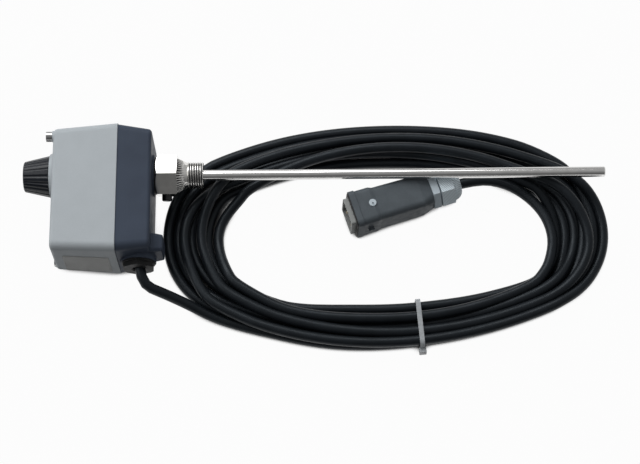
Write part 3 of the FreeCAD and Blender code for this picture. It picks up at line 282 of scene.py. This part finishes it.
class Surface:
    """A material whose colour, gloss and relief vary over the surface."""

    def __init__(self, name, color, roughness, metallic=0.0):
        self.material = bpy.data.materials.new(name)
        self.material.use_nodes = True
        self.nodes = self.material.node_tree.nodes
        self.links = self.material.node_tree.links
        self.shader = self.nodes["Principled BSDF"]
        self.base = (*color, 1.0)
        self.normal = None
        self.set("Base Color", self.base)
        self.set("Roughness", roughness)
        self.set("Metallic", metallic)
        self.place = self.nodes.new("ShaderNodeTexCoord").outputs["Object"]

    def set(self, socket, value):
        self.shader.inputs[socket].default_value = value

    def feed(self, node, socket, source):
        """Links a source to a node's input, or writes it there if it is a plain value."""
        if isinstance(source, bpy.types.NodeSocket):
            self.links.new(source, node.inputs[socket])
        else:
            node.inputs[socket].default_value = source

    def scaled_place(self, size, stretch):
        mapping = self.nodes.new("ShaderNodeMapping")
        self.feed(mapping, "Vector", self.place)
        mapping.inputs["Scale"].default_value = [s / (size * MM) for s in stretch]
        return mapping.outputs["Vector"]

    def noise(self, size, detail=2.0, stretch=(1, 1, 1)):
        """Soft blotches of a size in mm."""
        node = self.nodes.new("ShaderNodeTexNoise")
        self.feed(node, "Vector", self.scaled_place(size, stretch))
        node.inputs["Scale"].default_value = 1.0
        node.inputs["Detail"].default_value = detail
        return node.outputs["Fac"]

    def cells(self, size):
        """Rounded cells of a size in mm, high in their middle."""
        node = self.nodes.new("ShaderNodeTexVoronoi")
        node.feature = "SMOOTH_F1"
        self.feed(node, "Vector", self.scaled_place(size, (1, 1, 1)))
        node.inputs["Scale"].default_value = 1.0
        return node.outputs["Distance"]

    def bands(self, size):
        """Slanting ridges of a size in mm."""
        node = self.nodes.new("ShaderNodeTexWave")
        node.bands_direction = "DIAGONAL"
        self.feed(node, "Vector", self.scaled_place(size, (1, 1, 1)))
        node.inputs["Scale"].default_value = 0.5
        node.inputs["Distortion"].default_value = 0.4
        return node.outputs["Fac"]

    def spread(self, factor, low, high, start=0.3, end=0.7):
        return remap(self.material.node_tree, factor, start, end, low, high)

    def mix(self, blend, factor, color):
        """Mixes another colour into the colour so far."""
        node = self.nodes.new("ShaderNodeMix")
        node.data_type = "RGBA"
        node.blend_type = blend
        self.feed(node, MIX_FACTOR, factor)
        self.feed(node, MIX_FIRST, self.base)
        self.feed(node, MIX_SECOND, color)
        self.base = node.outputs[MIX_COLOR]
        self.feed(self.shader, "Base Color", self.base)

    def tint(self, factor, low, high):
        """Multiplies the colour by low to high."""
        self.mix("MULTIPLY", 1.0, self.spread(factor, low, high))

    def stain(self, factor, color, start, end, amount):
        """Turns the colour towards another where the factor is high."""
        self.mix("MIX", self.spread(factor, 0.0, amount, start, end), (*color, 1.0))

    def gloss(self, factor, low, high):
        """Lets the roughness vary from low to high."""
        self.feed(self.shader, "Roughness", self.spread(factor, low, high))

    def soft_edges(self, radius):
        """Breaks sharp edges by a radius in mm."""
        node = self.nodes.new("ShaderNodeBevel")
        node.samples = 4
        node.inputs["Radius"].default_value = radius * MM
        self.normal = node.outputs["Normal"]
        self.feed(self.shader, "Normal", self.normal)

    def relief(self, factor, depth):
        """Raises the surface by up to a depth in mm where the factor is high."""
        node = self.nodes.new("ShaderNodeBump")
        node.inputs["Strength"].default_value = 1.0
        node.inputs["Distance"].default_value = depth * MM
        self.feed(node, "Height", factor)
        if self.normal is not None:
            self.feed(node, "Normal", self.normal)
        self.normal = node.outputs["Normal"]
        self.feed(self.shader, "Normal", self.normal)


def moulded(name, color, low, high, grain=0.45, depth=0.012, edge=0.3):
    """A moulded plastic, low to high in roughness, with a fine grain and slight clouds."""
    surface = Surface(name, color, (low + high) / 2)
    surface.soft_edges(edge)
    surface.set("Specular IOR Level", 0.22)
    surface.tint(surface.noise(14, 4), 0.98, 1.02)
    surface.tint(surface.noise(0.5, 2), 0.97, 1.03)
    surface.gloss(surface.noise(5, 4), low, high)
    surface.relief(surface.noise(grain, 2), depth)
    surface.relief(surface.noise(grain / 3, 1), depth / 3)
    return surface


def turned_metal(name, color, low, high, stretch=(1, 1, 1), depth=0.002, edge=0.15):
    """A bare metal, low to high in roughness, with fine tool marks and dull patches."""
    surface = Surface(name, color, (low + high) / 2, 1.0)
    surface.soft_edges(edge)
    surface.tint(surface.noise(6, 4), 0.93, 1.04)
    surface.gloss(surface.noise(2.5, 4), low, high)
    surface.relief(surface.noise(0.18, 2, stretch), depth)
    return surface


def make_surfaces():
    """The finishes of the record's material slots."""
    made = {}
    shell = {"grain": 0.5, "depth": 0.016, "edge": 0.5}
    fine = {"grain": 0.4, "depth": 0.014}
    coarse = {"grain": 0.3, "depth": 0.015}

    cover = moulded("cover_grey", (0.395, 0.428, 0.452), 0.40, 0.52, **shell)
    cover.tint(cover.noise(45, 3), 0.99, 1.01)
    cover.set("Specular IOR Level", 0.09)
    made["cover_plastic"] = cover

    base = moulded("base_slate", (0.051, 0.064, 0.090), 0.38, 0.50, **shell)
    base.tint(base.noise(30, 3), 0.93, 1.07)
    base.set("Specular IOR Level", 0.07)
    made["base_plastic"] = base

    knob = Surface("knob_black", (0.010, 0.0125, 0.017), 0.2)
    knob.soft_edges(0.6)
    knob.tint(knob.noise(3, 3), 0.85, 1.15)
    knob.gloss(knob.noise(4, 5), 0.06, 0.14)
    knob.relief(knob.noise(1.6, 2), 0.006)
    knob.set("Specular IOR Level", 0.24)
    made["knob_plastic"] = knob

    made["gland_plastic"] = moulded("gland_black", (0.007, 0.0072, 0.0075), 0.48, 0.62, **coarse)
    made["light_plastic"] = moulded("gland_light_grey", (0.46, 0.525, 0.57), 0.40, 0.52, **fine)
    made["insert_plastic"] = moulded("insert_grey", (0.30, 0.305, 0.30), 0.42, 0.55, **fine)
    made["switch_plastic"] = moulded("switch_brown", (0.03, 0.02, 0.016), 0.45, 0.6)
    made["white_plastic"] = moulded("plunger_white", (0.72, 0.70, 0.65), 0.35, 0.45)
    made["core_plastic"] = moulded("core_brown", (0.085, 0.04, 0.022), 0.35, 0.45)

    tie = Surface("tie_natural", (0.40, 0.425, 0.445), 0.35)
    tie.soft_edges(0.25)
    tie.tint(tie.noise(2.0, 3), 0.88, 1.08)
    tie.gloss(tie.noise(1.2, 3), 0.28, 0.45)
    tie.relief(tie.noise(0.35, 2), 0.02)
    tie.set("Subsurface Weight", 0.25)
    tie.set("Subsurface Radius", (0.0012, 0.0012, 0.0011))
    tie.set("Transmission Weight", 0.15)
    made["tie_plastic"] = tie

    hood = Surface("hood_paint", (0.082, 0.096, 0.108), 0.5)
    hood.soft_edges(0.35)
    hood.tint(hood.noise(9, 4), 0.90, 1.08)
    hood.tint(hood.noise(0.5, 2), 0.93, 1.07)
    hood.gloss(hood.noise(3, 4), 0.42, 0.6)
    hood.set("Specular IOR Level", 0.13)
    hood.relief(hood.cells(0.7), -0.03)
    hood.relief(hood.noise(0.3, 2), 0.02)
    made["hood_metal"] = hood

    lengthwise = (0.1, 1, 1)
    nickel = turned_metal("nickel_plate", (0.80, 0.79, 0.765), 0.08, 0.20, lengthwise, 0.0015)
    nickel.stain(nickel.noise(1.6, 4), (0.42, 0.40, 0.37), 0.66, 0.8, 0.5)
    made["nickel"] = nickel

    drawn = (0.012, 1, 1)
    steel = turned_metal("drawn_stainless", (0.74, 0.735, 0.725), 0.07, 0.15, drawn, 0.0012, 0.1)
    steel.tint(steel.noise(0.8, 3, (0.03, 1, 1)), 0.9, 1.05)
    made["stainless"] = steel

    made["screw_steel"] = turned_metal("zinc_plate", (0.45, 0.455, 0.455), 0.14, 0.28)
    made["sheet_steel"] = turned_metal("sheet_steel", (0.55, 0.55, 0.545), 0.28, 0.42, lengthwise)
    made["brass"] = turned_metal("dull_brass", (0.30, 0.25, 0.16), 0.3, 0.45)
    made["copper"] = turned_metal("drawn_copper", (0.74, 0.36, 0.22), 0.2, 0.34, (0.05, 1, 1))

    rubber = Surface("seal_rubber", (0.016, 0.016, 0.017), 0.65)
    rubber.tint(rubber.noise(1.5, 3), 0.8, 1.25)
    rubber.gloss(rubber.noise(1.0, 3), 0.55, 0.78)
    rubber.relief(rubber.noise(0.2, 2), 0.02)
    made["black_rubber"] = rubber

    sheath = Surface("sheath_black", (0.0075, 0.0092, 0.0115), 0.36)
    sheath.set("Specular IOR Level", 0.23)
    sheath.set("Specular Tint", (0.82, 0.92, 1.0, 1.0))
    sheath.tint(sheath.noise(18, 4), 0.8, 1.25)
    sheath.gloss(sheath.noise(7, 5), 0.30, 0.46)
    sheath.relief(sheath.noise(5, 2), 0.05)
    sheath.relief(sheath.noise(0.3, 2), 0.012)
    sheath.stain(sheath.noise(1.1, 5), (0.06, 0.062, 0.064), 0.68, 0.82, 0.25)
    made["cable_sheath"] = sheath

    return made


def make_own_finishes():
    """Finishes of single pieces that differ from the rest of their slot."""
    fine = {"grain": 0.4, "depth": 0.014}
    grip = 1.5
    # The cap is a lighter copy of the gland's grey plastic: painted light on its facets.
    cap = moulded("gland_cap_grip_painted_light_and_shade", (0.72, 0.82, 0.88), 0.40, 0.52, **fine)
    cap.relief(cap.bands(grip), 0.16)
    # Darker colour in the valleys of the grip: painted shade.
    cap.tint(cap.bands(grip), 0.74, 1.08)
    blackened = turned_metal("blackened_steel", (0.05, 0.05, 0.052), 0.25, 0.4)
    insert = moulded("insert_light_grey", (0.27, 0.28, 0.275), 0.42, 0.55, **fine)
    return {"hood_gland_cap": cap, "clamp_screw": blackened, "hood_insert": insert}


surfaces = make_surfaces()
own_finishes = make_own_finishes()


def dress(obj, surface):
    """Gives an object one finish all over."""
    obj.data.materials.clear()
    obj.data.materials.append(surface.material)


for subpart in frame["record"]["subparts"]:
    name = subpart["node"]
    dress(nodes[name], own_finishes.get(name, surfaces[subpart["material_slot"]]))
dress(cable, surfaces["cable_sheath"])


# Pieces that the solids show only in outline


def add_piece(name, mesh_data, body, slot):
    """Puts a mesh into the scene with a slot's finish, on a body unless that is None."""
    mesh = bpy.data.meshes.new(name)
    mesh_data.to_mesh(mesh)
    mesh_data.free()
    obj = bpy.data.objects.new(name, mesh)
    bpy.context.scene.collection.objects.link(obj)
    mesh.materials.append(surfaces[slot].material)
    if body is not None:
        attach(obj, body)
    return obj


def smooth_by_angle(obj, degrees):
    obj.data.shade_smooth()
    obj.data.set_sharp_from_angle(angle=math.radians(degrees))


def bridge(bm, rings):
    """Faces between closed rings that follow one another and have as many points each."""
    for ring, following in zip(rings, rings[1:]):
        for k in range(len(ring)):
            after = (k + 1) % len(ring)
            bm.faces.new((ring[k], ring[after], following[after], following[k]))


def turned_skin(bm, stations, radius_at, segments):
    """A skin about the X axis through rings at the stations.

    radius_at gives the radius in mm from the place along the axis and the angle about it.
    """
    rings = []
    for x in stations:
        ring = []
        for k in range(segments):
            angle = 2 * math.pi * k / segments
            radius = radius_at(x, angle)
            place = Vector((x, radius * math.cos(angle), radius * math.sin(angle)))
            ring.append(bm.verts.new(place * MM))
        rings.append(ring)
    bridge(bm, rings)
    return rings


def spaced(start, end, step):
    """Even places from start to end, about a step apart."""
    count = max(1, round((end - start) / step))
    return [start + (end - start) * k / count for k in range(count + 1)]


# Nipple: hexagon, toothed cone and pipe thread along the X axis

HEX_START = -24.4
HEX_END = -8.2
HEX_HALF = 15.0
HEX_TURN = 15.0
HEX_CHAMFER = 1.4
HEX_LIP = HEX_CHAMFER / 3
HEX_CORNER_PLAY = 0.1
HEX_STEP = 2.4
CHAMFER_STEP = 0.14
LIP_STEP = 0.12
HEX_SEGMENTS = 360
CONE_REAR = 13.2
CONE_FRONT = 9.6
TEETH = 40
TEETH_LENGTH = 6.0
TEETH_DEPTH = 0.9
TEETH_FADE = 1.2
TOOTH_GROOVE = 0.3
CONE_STEP = 0.25
CONE_SEGMENTS = 480
THREAD_RADIUS = 10.4775
THREAD_DEPTH = 1.16
THREAD_PITCH = 1.814
THREAD_START = 0.0
THREAD_END = 11.5
THREAD_CHAMFER = 0.8
THREAD_RUN_IN = 1.2
FIRST_CUT = 0.4
CREST_SWING = 0.66
CREST_PLAY = 0.02
THREAD_GROOVE = 0.62
THREAD_STEP = 0.1
THREAD_SEGMENTS = 120
ROD_RADIUS = 4.0
ROD_PLAY = 0.05
END_FACE = 0.99


def hex_radius(x, angle):
    """Radius of the spanner hexagon, with the corners of its ends turned off."""
    from_flat = (math.degrees(angle) - 180 - HEX_TURN + 30) % 60 - 30
    corner = HEX_HALF / math.cos(math.radians(30))
    near_start = corner + HEX_CORNER_PLAY - 2 * max(0.0, HEX_CHAMFER - (x - HEX_START))
    near_end = corner + HEX_CORNER_PLAY - 2 * max(0.0, HEX_LIP - (HEX_END - x))
    return min(HEX_HALF / math.cos(math.radians(from_flat)), near_start, near_end)


def thread_radius(x, angle):
    """Radius of the pipe thread, with round crests and roots that run out at both ends."""
    phase = 2 * math.pi * x / THREAD_PITCH - angle
    crest = min(max(0.5 + CREST_SWING * math.cos(phase), 0.0), 1.0)
    cut = THREAD_DEPTH * min(1.0, FIRST_CUT + (x - THREAD_START) / THREAD_RUN_IN)
    radius = THREAD_RADIUS - cut * (1 - crest)
    past_chamfer = max(0.0, x - (THREAD_END - THREAD_CHAMFER))
    return min(radius, THREAD_RADIUS - past_chamfer - CREST_PLAY)


def cone_radius(x, angle):
    """Radius of the cone before the thread, with straight teeth round its rear end."""
    along = x - HEX_END
    radius = CONE_REAR + (CONE_FRONT - CONE_REAR) * along / (THREAD_START - HEX_END)
    gap = 0.5 - 0.5 * math.cos(TEETH * angle)
    fade = TEETH_FADE - TEETH_FADE * along / TEETH_LENGTH
    return radius - TEETH_DEPTH * gap * min(1.0, max(0.0, fade))


def bore_radius(_x, _angle):
    """Radius of the bore round the rod."""
    return ROD_RADIUS + ROD_PLAY


def in_groove(face):
    """Whether a face of the nipple lies deep in the thread or between the teeth, where a dark
    finish paints the shade of the grooves.
    """
    middle = face.calc_center_median() / MM
    if abs(face.normal.x) > END_FACE or middle.x <= HEX_END:
        return False
    if middle.x > THREAD_START:
        radius = math.hypot(middle.y, middle.z)
        return radius < THREAD_RADIUS - THREAD_GROOVE * THREAD_DEPTH
    angle = math.atan2(middle.z, middle.y)
    return cone_radius(middle.x, angle) < cone_radius(middle.x, 0.0) - TOOTH_GROOVE


def make_nipple():
    bm = bmesh.new()
    hexagon = spaced(HEX_START, HEX_START + HEX_CHAMFER, CHAMFER_STEP)
    hexagon += spaced(HEX_START + HEX_CHAMFER, HEX_END - HEX_LIP, HEX_STEP)[1:]
    hexagon += spaced(HEX_END - HEX_LIP, HEX_END, LIP_STEP)[1:]
    cone = spaced(HEX_END, THREAD_START, CONE_STEP)
    thread = spaced(THREAD_START, THREAD_END, THREAD_STEP)
    sections = [
        (hexagon, hex_radius, HEX_SEGMENTS),
        (cone, cone_radius, CONE_SEGMENTS),
        (thread, thread_radius, THREAD_SEGMENTS),
    ]
    skins = [turned_skin(bm, *section) for section in sections]
    for (stations, _radius_at, segments), rings in zip(sections, skins):
        for x, ring in ((stations[0], rings[0]), (stations[-1], rings[-1])):
            bore = turned_skin(bm, [x], bore_radius, segments)[0]
            bridge(bm, [ring, bore])
    bmesh.ops.recalc_face_normals(bm, faces=bm.faces)
    # Faces deep in the grooves get a dark second finish: painted shade in the thread roots and
    # between the teeth.
    for face in bm.faces:
        face.material_index = int(in_groove(face))
    obj = add_piece("threaded_nipple", bm, "housing", "nickel")
    groove_shade_finish = turned_metal("nickel_painted_groove_shade", (0.13, 0.13, 0.132), 0.3, 0.5)
    obj.data.materials.append(groove_shade_finish.material)
    smooth_by_angle(obj, 28)
    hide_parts("nipple")


make_nipple()


# Bare type plate on the cover's end wall, in a dark grey instead of its silver: painted shade of
# the end wall

PLATE_MIDDLE = (-75.5, -6.0)
PLATE_SIZE = (35.0, 32.0)
PLATE_ROUND = 2.2
PLATE_THICKNESS = 0.3
PLATE_SINK = 0.1
PLATE_BEVEL = 0.12
PLATE_CORNER_STEPS = 6
GROOVE_START = 1.0
GROOVE_END = 1.62
GROOVE_DEPTH = 0.1
LEAST_ROUND = 0.3
COVER_WALL = ((-52.0, -70.0), (-101.0, -67.1))


def make_plate():
    (seam_x, seam_y), (front_x, front_y) = COVER_WALL
    along = Vector((seam_x - front_x, seam_y - front_y, 0)).normalized()
    out = Vector((along.y, -along.x, 0))
    middle_x, middle_z = PLATE_MIDDLE
    middle_y = seam_y + (front_y - seam_y) * (seam_x - middle_x) / (seam_x - front_x)
    middle = Vector((middle_x, middle_y, middle_z))
    up = Vector((0, 0, 1))
    bm = bmesh.new()

    def loop(inset, lift):
        ring = []
        radius = max(PLATE_ROUND - inset, LEAST_ROUND)
        for corner in range(4):
            side = (1 if corner in (0, 3) else -1, 1 if corner < 2 else -1)
            for step in range(PLATE_CORNER_STEPS + 1):
                angle = math.radians(90 * corner + 90 * step / PLATE_CORNER_STEPS)
                a = side[0] * (PLATE_SIZE[0] / 2 - inset - radius) + radius * math.cos(angle)
                b = side[1] * (PLATE_SIZE[1] / 2 - inset - radius) + radius * math.sin(angle)
                place = middle + a * along + b * up + lift * out
                ring.append(bm.verts.new(place * MM))
        return ring

    rings = [
        loop(0.0, -PLATE_SINK),
        loop(0.0, PLATE_THICKNESS - PLATE_BEVEL),
        loop(PLATE_BEVEL, PLATE_THICKNESS),
        loop(GROOVE_START, PLATE_THICKNESS),
        loop(GROOVE_START + PLATE_BEVEL, PLATE_THICKNESS - GROOVE_DEPTH),
        loop(GROOVE_END - PLATE_BEVEL, PLATE_THICKNESS - GROOVE_DEPTH),
        loop(GROOVE_END, PLATE_THICKNESS),
    ]
    bridge(bm, rings)
    bm.faces.new(rings[-1])
    bmesh.ops.recalc_face_normals(bm, faces=bm.faces)
    # The dark grey insert plastic on this silver plate is painted shade of the end wall.
    obj = add_piece("type_plate", bm, "housing", "insert_plastic")
    smooth_by_angle(obj, 20)


make_plate()


# Range spring in two halves: the carriage half rides on the housing, the lever half on no body

SPRING_BACK = -71.33
SPRING_FRONT = -52.67
SPRING_RADIUS = 5.6
SPRING_WIRE = 0.65
OPEN_TURNS = 4.5
CLOSED_PITCH = 1.4
STEPS_PER_TURN = 32
WIRE_SIDES = 12


def spring_x(turn):
    """Distance along the spring's axis after some turns, with one closed turn at each end."""
    turns = OPEN_TURNS + 2
    open_pitch = (SPRING_FRONT - SPRING_BACK - 2 * CLOSED_PITCH) / OPEN_TURNS
    if turn < 1:
        return SPRING_BACK + CLOSED_PITCH * turn
    if turn > turns - 1:
        return SPRING_FRONT - CLOSED_PITCH * (turns - turn)
    return SPRING_BACK + CLOSED_PITCH + open_pitch * (turn - 1)


def make_spring_half(name, body, first_turn, last_turn):
    bm = bmesh.new()
    steps = round((last_turn - first_turn) * STEPS_PER_TURN)
    rings = []
    for k in range(steps + 1):
        turn = first_turn + (last_turn - first_turn) * k / steps
        angle = 2 * math.pi * turn
        out = Vector((0, math.sin(angle), -math.cos(angle)))
        middle = Vector((spring_x(turn), 0, 0)) + SPRING_RADIUS * out
        ring = []
        for j in range(WIRE_SIDES):
            around = 2 * math.pi * j / WIRE_SIDES
            offset = math.cos(around) * out + math.sin(around) * Vector((1, 0, 0))
            ring.append(bm.verts.new((middle + SPRING_WIRE * offset) * MM))
        rings.append(ring)
    bridge(bm, rings)
    bm.faces.new(rings[0])
    bm.faces.new(rings[-1])
    bmesh.ops.recalc_face_normals(bm, faces=bm.faces)
    obj = add_piece(name, bm, body, "screw_steel")
    smooth_by_angle(obj, 40)
    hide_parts("range_spring")
    return obj


def make_spring():
    half_turns = OPEN_TURNS / 2 + 1
    back = make_spring_half("spring_carriage_half", "housing", 0.0, half_turns)
    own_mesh(back)
    front = make_spring_half("spring_lever_half", None, half_turns, 2 * half_turns)
    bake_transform(front)


make_spring()


# Studio: floor, lamps and the light all round

FLOOR_REACH = 6.0
FLOOR_GREY = (0.24, 0.24, 0.24, 1)
FLOOR_ROUGHNESS = 0.8
FLOOR_WHITE = 0.97
# Reach and limits of the ambient occlusion that fades the floor's white in narrow gaps: painted
# shade.
GAP_REACH = 0.008
GAP_SHUT = 0.32
GAP_OPEN = 0.58
LAMP_BEHIND = {
    "place": (-0.45, 1.1, 1.3),
    "target": (0.1, -0.05, 0.0),
    "size": (1.6, 1.2),
    "power": 22,
}
LAMP_LEFT = {
    "place": (-1.3, 0.1, 1.2),
    "target": (0.05, -0.05, 0.0),
    "size": (1.2, 1.2),
    "power": 6.5,
}
SKY_FRONT_Y = -0.85
SKY_BACK_Y = 0.1
SKY_FRONT = 0.13
SKY_BACK = 0.44


def combine(tree, operation, first, second):
    node = tree.nodes.new("ShaderNodeMath")
    node.operation = operation
    tree.links.new(first, node.inputs[0])
    tree.links.new(second, node.inputs[1])
    return node.outputs[0]


def white_for_sight(tree, shader):
    """Mixes plain white into the floor for the camera and for reflections, less of it where ambient
    occlusion finds the floor shut in. The grey floor underneath shades for real, and the fading
    white is painted shade in the gaps between strands and along contacts.
    """
    light_path = tree.nodes.new("ShaderNodeLightPath")
    seen = light_path.outputs["Is Camera Ray"]
    for kind in ("Is Glossy Ray", "Is Transmission Ray"):
        seen = combine(tree, "MAXIMUM", seen, light_path.outputs[kind])
    # Ambient occlusion fades the white where the floor lies in narrow gaps: painted shade.
    openness = tree.nodes.new("ShaderNodeAmbientOcclusion")
    openness.inputs["Distance"].default_value = GAP_REACH
    whiteness = remap(tree, openness.outputs["AO"], GAP_SHUT, GAP_OPEN, 0.0, FLOOR_WHITE)
    white = tree.nodes.new("ShaderNodeEmission")
    white.inputs["Color"].default_value = (1, 1, 1, 1)
    white.inputs["Strength"].default_value = 1.0
    mix = tree.nodes.new("ShaderNodeMixShader")
    tree.links.new(combine(tree, "MULTIPLY", seen, whiteness), mix.inputs[0])
    tree.links.new(shader, mix.inputs[1])
    tree.links.new(white.outputs[0], mix.inputs[2])
    return mix.outputs[0]


def make_floor():
    mesh = bpy.data.meshes.new("floor")
    signs = [(-1, -1), (1, -1), (1, 1), (-1, 1)]
    corners = [(x * FLOOR_REACH, y * FLOOR_REACH, FLOOR_Z * MM) for x, y in signs]
    mesh.from_pydata(corners, [], [(0, 1, 2, 3)])
    floor = bpy.data.objects.new("floor", mesh)
    bpy.context.scene.collection.objects.link(floor)
    material = bpy.data.materials.new("floor_white")
    material.use_nodes = True
    tree = material.node_tree
    shader = tree.nodes["Principled BSDF"]
    shader.inputs["Base Color"].default_value = FLOOR_GREY
    shader.inputs["Roughness"].default_value = FLOOR_ROUGHNESS
    output = tree.nodes["Material Output"]
    tree.links.new(white_for_sight(tree, shader.outputs["BSDF"]), output.inputs["Surface"])
    mesh.materials.append(material)


def add_lamp(name, place, target, size, power):
    """A soft rectangular lamp that points from its place to a target."""
    lamp = bpy.data.lights.new(name, "AREA")
    lamp.shape = "RECTANGLE"
    lamp.size, lamp.size_y = size
    lamp.energy = power
    obj = bpy.data.objects.new(name, lamp)
    obj.location = place
    toward = Vector(target) - Vector(place)
    obj.rotation_euler = toward.to_track_quat("-Z", "Y").to_euler()
    bpy.context.scene.collection.objects.link(obj)


def make_sky():
    """Even light all round, dimmer towards the front."""
    world = bpy.data.worlds.new("studio")
    bpy.context.scene.world = world
    world.use_nodes = True
    tree = world.node_tree
    direction = tree.nodes.new("ShaderNodeTexCoord")
    parts = tree.nodes.new("ShaderNodeSeparateXYZ")
    tree.links.new(direction.outputs["Generated"], parts.inputs[0])
    level = remap(tree, parts.outputs["Y"], SKY_FRONT_Y, SKY_BACK_Y, SKY_FRONT, SKY_BACK)
    sky = tree.nodes["Background"]
    sky.inputs["Color"].default_value = (1, 1, 1, 1)
    tree.links.new(level, sky.inputs["Strength"])


make_floor()
add_lamp("lamp_behind", **LAMP_BEHIND)
add_lamp("lamp_left", **LAMP_LEFT)
make_sky()

bpy.context.scene.view_settings.view_transform = "Standard"

bpy.context.view_layer.update()
